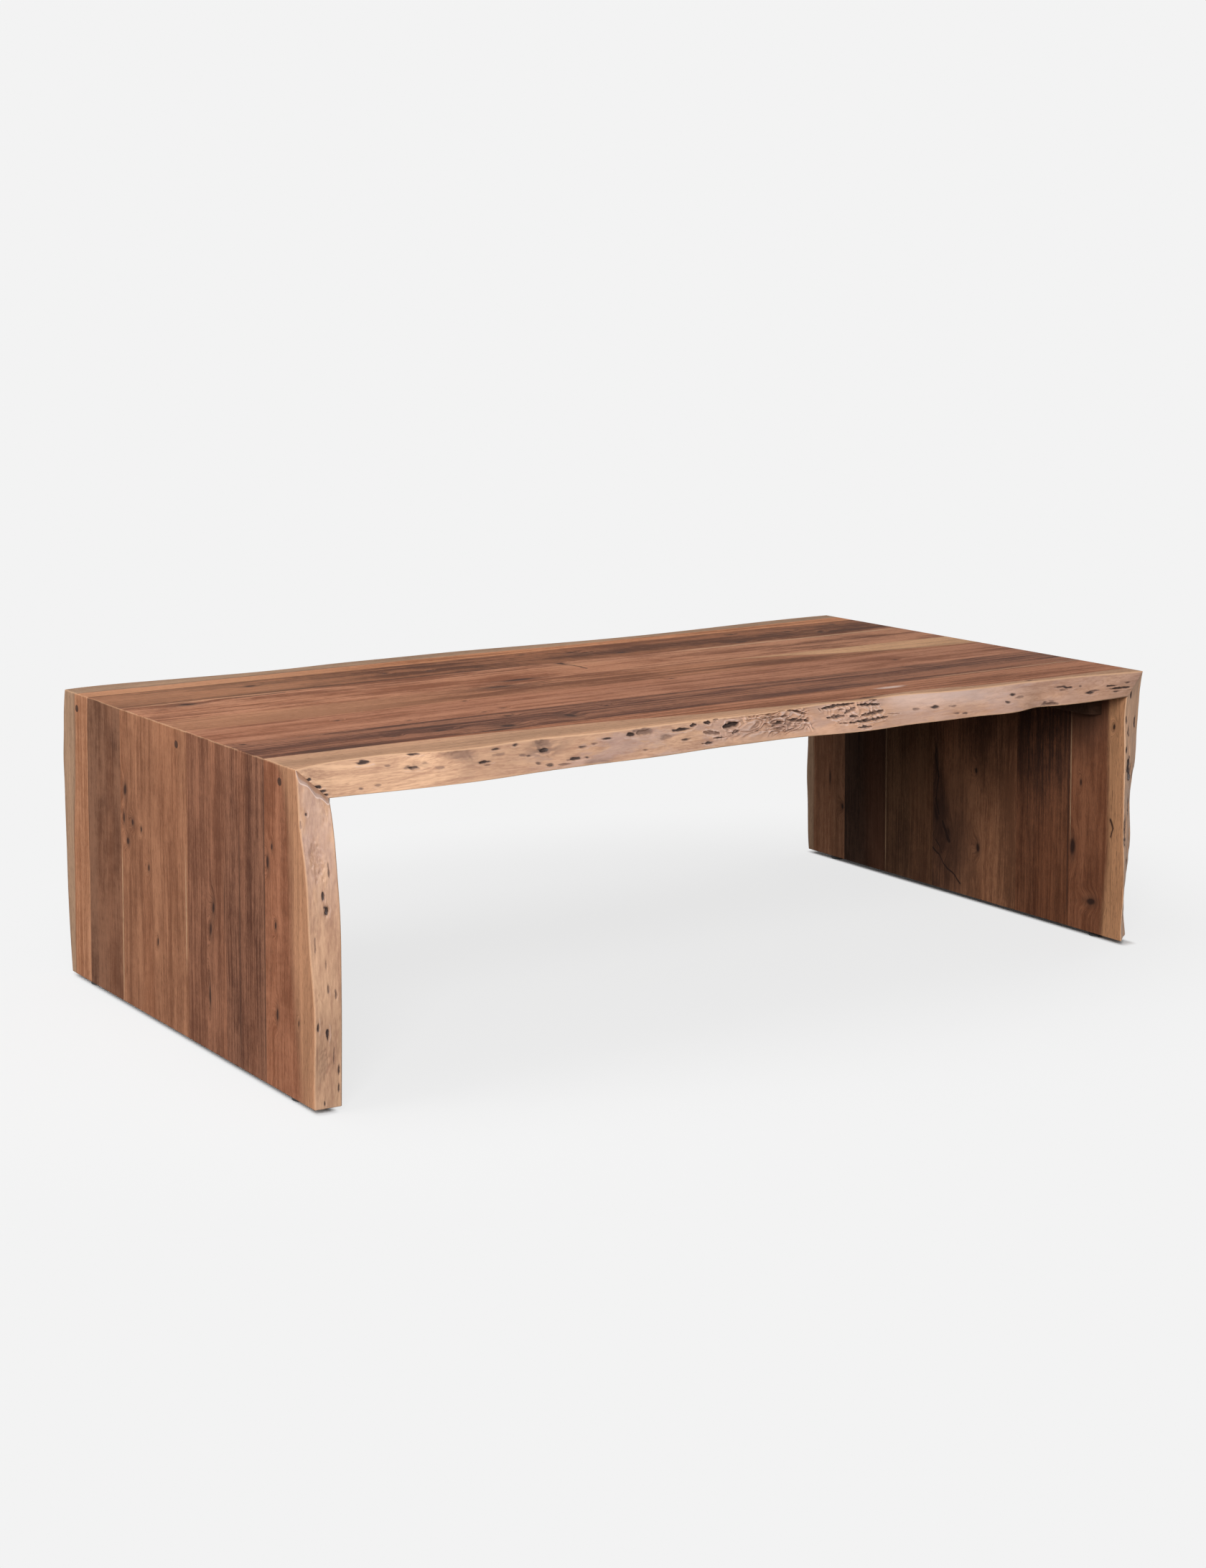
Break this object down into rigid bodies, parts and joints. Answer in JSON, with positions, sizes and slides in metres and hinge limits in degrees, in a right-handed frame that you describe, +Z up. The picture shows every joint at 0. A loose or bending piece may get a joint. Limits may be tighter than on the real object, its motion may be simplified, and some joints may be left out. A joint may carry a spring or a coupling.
{
  "type": "coffee table",
  "caption": "Waterfall coffee table of edge-glued boards with wavy live edges, mitred upper corners, corner cleats under the top and screw-adjustable feet.",
  "frame": {"origin": "on the floor, under the middle of the table's overall box, feet screwed home", "axes": "+X along the length to the right as seen from the front, +Y from the front live edge to the back, +Z up"},
  "size_m": [1.368, 0.7581, 0.406],
  "materials": {
    "walnut_dark": "satin oil over dark, knotty heartwood",
    "walnut_red": "satin oil over reddish heartwood",
    "walnut_brown": "satin oil over plain brown heartwood",
    "walnut_edge": "satin oil over heartwood with pale sapwood at the live edge",
    "cleat_wood": "planed, oiled",
    "plug_wood": "sanded flush, oiled",
    "beech": "pressed, unfinished",
    "zinc_steel": "zinc plated",
    "stud_steel": "zinc plated",
    "insert_brass": "turned",
    "black_plastic": "moulded, fine grain"
  },
  "bodies": {
    "table": {"top_board_1": "walnut_edge", "top_board_2": "walnut_dark", "top_board_3": "walnut_red", "top_board_4": "walnut_brown", "top_board_5": "walnut_red", "top_board_6": "walnut_dark", "top_board_7": "walnut_edge", "left_leg_board_1": "walnut_edge", "left_leg_board_2": "walnut_dark", "left_leg_board_3": "walnut_red", "left_leg_board_4": "walnut_brown", "left_leg_board_5": "walnut_dark", "left_leg_board_6": "walnut_edge", "right_leg_board_1": "walnut_edge", "right_leg_board_2": "walnut_dark", "right_leg_board_3": "walnut_red", "right_leg_board_4": "walnut_brown", "right_leg_board_5": "walnut_dark", "right_leg_board_6": "walnut_edge", "left_screw_plugs": "plug_wood", "left_joint_screws": "zinc_steel", "left_mitre_tenons": "beech", "left_corner_cleat": "cleat_wood", "left_cleat_screws": "zinc_steel", "right_screw_plugs": "plug_wood", "right_joint_screws": "zinc_steel", "right_mitre_tenons": "beech", "right_corner_cleat": "cleat_wood", "right_cleat_screws": "zinc_steel", "foot_inserts": "insert_brass"},
    "front_left_pad": {"front_left_foot_pad": "black_plastic"},
    "front_left_stud": {"front_left_foot_stud": "stud_steel"},
    "front_right_pad": {"front_right_foot_pad": "black_plastic"},
    "front_right_stud": {"front_right_foot_stud": "stud_steel"},
    "back_left_pad": {"back_left_foot_pad": "black_plastic"},
    "back_left_stud": {"back_left_foot_stud": "stud_steel"},
    "back_right_pad": {"back_right_foot_pad": "black_plastic"},
    "back_right_stud": {"back_right_foot_stud": "stud_steel"}
  },
  "joints": [
    {"name": "front_left_foot_height", "type": "slide", "parent": "table", "child": "front_left_pad", "axis": [0, 0, -1], "range_m": [0, 0.01]},
    {"name": "front_left_stud_turn", "type": "hinge", "parent": "front_left_pad", "child": "front_left_stud", "pos_m": [-0.6665, -0.301, 0], "axis": [0, 0, -1], "range_deg": [0, 2880]},
    {"name": "front_right_foot_height", "type": "slide", "parent": "table", "child": "front_right_pad", "axis": [0, 0, -1], "range_m": [0, 0.01]},
    {"name": "front_right_stud_turn", "type": "hinge", "parent": "front_right_pad", "child": "front_right_stud", "pos_m": [0.6665, -0.301, 0], "axis": [0, 0, -1], "range_deg": [0, 2880]},
    {"name": "back_left_foot_height", "type": "slide", "parent": "table", "child": "back_left_pad", "axis": [0, 0, -1], "range_m": [0, 0.01]},
    {"name": "back_left_stud_turn", "type": "hinge", "parent": "back_left_pad", "child": "back_left_stud", "pos_m": [-0.6665, 0.301, 0], "axis": [0, 0, -1], "range_deg": [0, 2880]},
    {"name": "back_right_foot_height", "type": "slide", "parent": "table", "child": "back_right_pad", "axis": [0, 0, -1], "range_m": [0, 0.01]},
    {"name": "back_right_stud_turn", "type": "hinge", "parent": "back_right_pad", "child": "back_right_stud", "pos_m": [0.6665, 0.301, 0], "axis": [0, 0, -1], "range_deg": [0, 2880]}
  ],
  "couplings": [
    {"joint": "front_left_foot_height", "follows": "front_left_stud_turn", "m_per_rad": 0.00019894},
    {"joint": "front_right_foot_height", "follows": "front_right_stud_turn", "m_per_rad": 0.00019894},
    {"joint": "back_left_foot_height", "follows": "back_left_stud_turn", "m_per_rad": 0.00019894},
    {"joint": "back_right_foot_height", "follows": "back_right_stud_turn", "m_per_rad": 0.00019894}
  ]
}
